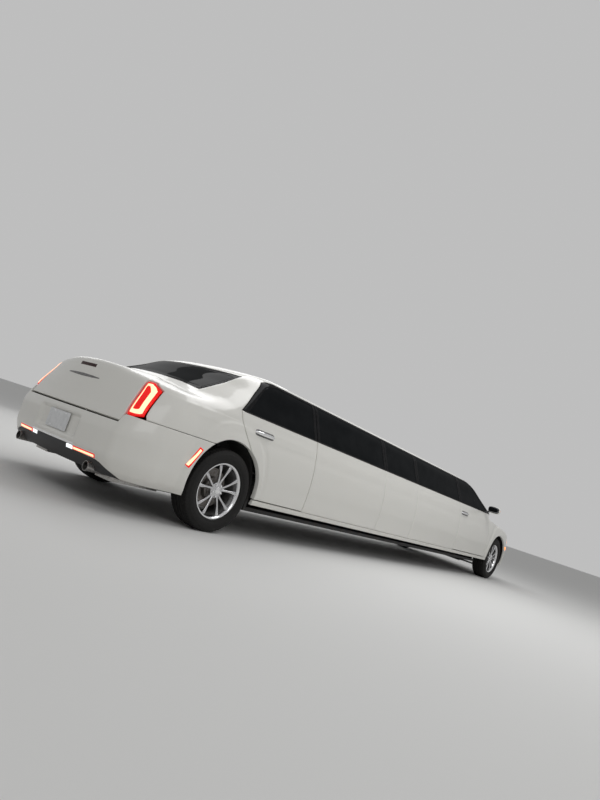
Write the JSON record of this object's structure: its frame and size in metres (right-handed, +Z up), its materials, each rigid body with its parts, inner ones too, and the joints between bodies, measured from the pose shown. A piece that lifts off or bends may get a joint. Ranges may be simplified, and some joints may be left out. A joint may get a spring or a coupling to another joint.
{
  "type": "stretch limousine",
  "caption": "Long-wheelbase white limousine saloon with hinged doors, bonnet and boot lid, steered front wheels and dark side glass.",
  "frame": {"origin": "on the ground under the middle of the overall length, on the centre plane", "axes": "+X to the nose, +Y to the left side, +Z up"},
  "size_m": [8.9376, 2.21, 1.502],
  "materials": {
    "paint": "gloss ivory-white body colour",
    "tinted_glass": "dark tinted glass",
    "clear_glass": "clear laminated glass",
    "tyre": "black rubber",
    "alloy": "polished alloy",
    "chrome": "bright chrome",
    "black_plastic": "grained black plastic",
    "lamp": "red lamp lens",
    "clear_lamp": "clear lamp lens over bright reflectors",
    "underbody": "dark underbody coat",
    "iron": "bare casting",
    "steel": "exhaust steel",
    "leather": "black seat leather",
    "trim": "soft dark trim"
  },
  "bodies": {
    "body": {"bumper_front": "paint", "bumper_rear": "paint", "cowl": "black_plastic", "dashboard": "trim", "door_hinges": "underbody", "driveline": "iron", "engine": "iron", "exhaust": "steel", "fender_left": "paint", "fender_right": "paint", "fixed_glass": "tinted_glass", "floor_pan": "underbody", "front_rails": "underbody", "front_seats": "leather", "fuel_tank": "black_plastic", "grille": "chrome", "headlamps": "clear_lamp", "knuckles_rear": "iron", "lounge_seats": "leather", "partition": "trim", "quarter_panel_left": "paint", "quarter_panel_right": "paint", "rear_deck_trim": "paint", "roof_shell": "paint", "sills": "paint", "stretch_panel_left": "paint", "stretch_panel_right": "paint", "subframes": "underbody", "tail_lamps": "lamp", "valance_rear": "black_plastic", "wheelhouses": "underbody", "windscreen": "clear_glass"},
    "door_front_right": {"door_front_right": "paint", "glass_front_right": "tinted_glass"},
    "door_front_left": {"door_front_left": "paint", "glass_front_left": "tinted_glass"},
    "door_rear_right": {"door_rear_right": "paint", "glass_rear_right": "tinted_glass"},
    "door_rear_left": {"door_rear_left": "paint", "glass_rear_left": "tinted_glass"},
    "bonnet": {"bonnet": "paint", "bonnet_arms": "underbody"},
    "boot_lid": {"boot_lid": "paint", "lid_arms": "underbody"},
    "steer_right": {"knuckle_front_right": "iron"},
    "steer_left": {"knuckle_front_left": "iron"},
    "wheel_front_right": {"tyre_front_right": "tyre", "wheel_front_right": "alloy"},
    "wheel_front_left": {"tyre_front_left": "tyre", "wheel_front_left": "alloy"},
    "wheel_rear_right": {"tyre_rear_right": "tyre", "wheel_rear_right": "alloy"},
    "wheel_rear_left": {"tyre_rear_left": "tyre", "wheel_rear_left": "alloy"}
  },
  "joints": [
    {"name": "door_rear_right_hinge", "type": "hinge", "parent": "body", "child": "door_rear_right", "pos_m": [-2.252, -0.939, 0.66], "axis": [0, 0, 1], "range_deg": [0, 65]},
    {"name": "door_rear_left_hinge", "type": "hinge", "parent": "body", "child": "door_rear_left", "pos_m": [-2.252, 0.939, 0.66], "axis": [0, 0, -1], "range_deg": [0, 65]},
    {"name": "door_front_right_hinge", "type": "hinge", "parent": "body", "child": "door_front_right", "pos_m": [2.967, -0.939, 0.66], "axis": [0, 0, 1], "range_deg": [0, 65]},
    {"name": "door_front_left_hinge", "type": "hinge", "parent": "body", "child": "door_front_left", "pos_m": [2.967, 0.939, 0.66], "axis": [0, 0, -1], "range_deg": [0, 65]},
    {"name": "boot_lid_hinge", "type": "hinge", "parent": "body", "child": "boot_lid", "pos_m": [-3.777, 0, 1], "axis": [0, 1, 0], "range_deg": [0, 70]},
    {"name": "bonnet_hinge", "type": "hinge", "parent": "body", "child": "bonnet", "pos_m": [3.13, 0, 0.985], "axis": [0, -1, 0], "range_deg": [0, 50]},
    {"name": "steer_right_turn", "type": "hinge", "parent": "body", "child": "steer_right", "pos_m": [3.58, -0.68, 0.355], "axis": [0, 0, 1], "range_deg": [-32, 32]},
    {"name": "steer_left_turn", "type": "hinge", "parent": "body", "child": "steer_left", "pos_m": [3.58, 0.68, 0.355], "axis": [0, 0, 1], "range_deg": [-32, 32]},
    {"name": "wheel_front_right_spin", "type": "hinge", "parent": "steer_right", "child": "wheel_front_right", "pos_m": [3.58, -0.8055, 0.355], "axis": [0, 1, 0], "continuous": true},
    {"name": "wheel_front_left_spin", "type": "hinge", "parent": "steer_left", "child": "wheel_front_left", "pos_m": [3.58, 0.8055, 0.355], "axis": [0, 1, 0], "continuous": true},
    {"name": "wheel_rear_right_spin", "type": "hinge", "parent": "body", "child": "wheel_rear_right", "pos_m": [-3.372, -0.81, 0.355], "axis": [0, 1, 0], "continuous": true},
    {"name": "wheel_rear_left_spin", "type": "hinge", "parent": "body", "child": "wheel_rear_left", "pos_m": [-3.372, 0.81, 0.355], "axis": [0, 1, 0], "continuous": true}
  ],
  "couplings": [
    {"joint": "steer_left_turn", "follows": "steer_right_turn", "ratio": 1}
  ]
}
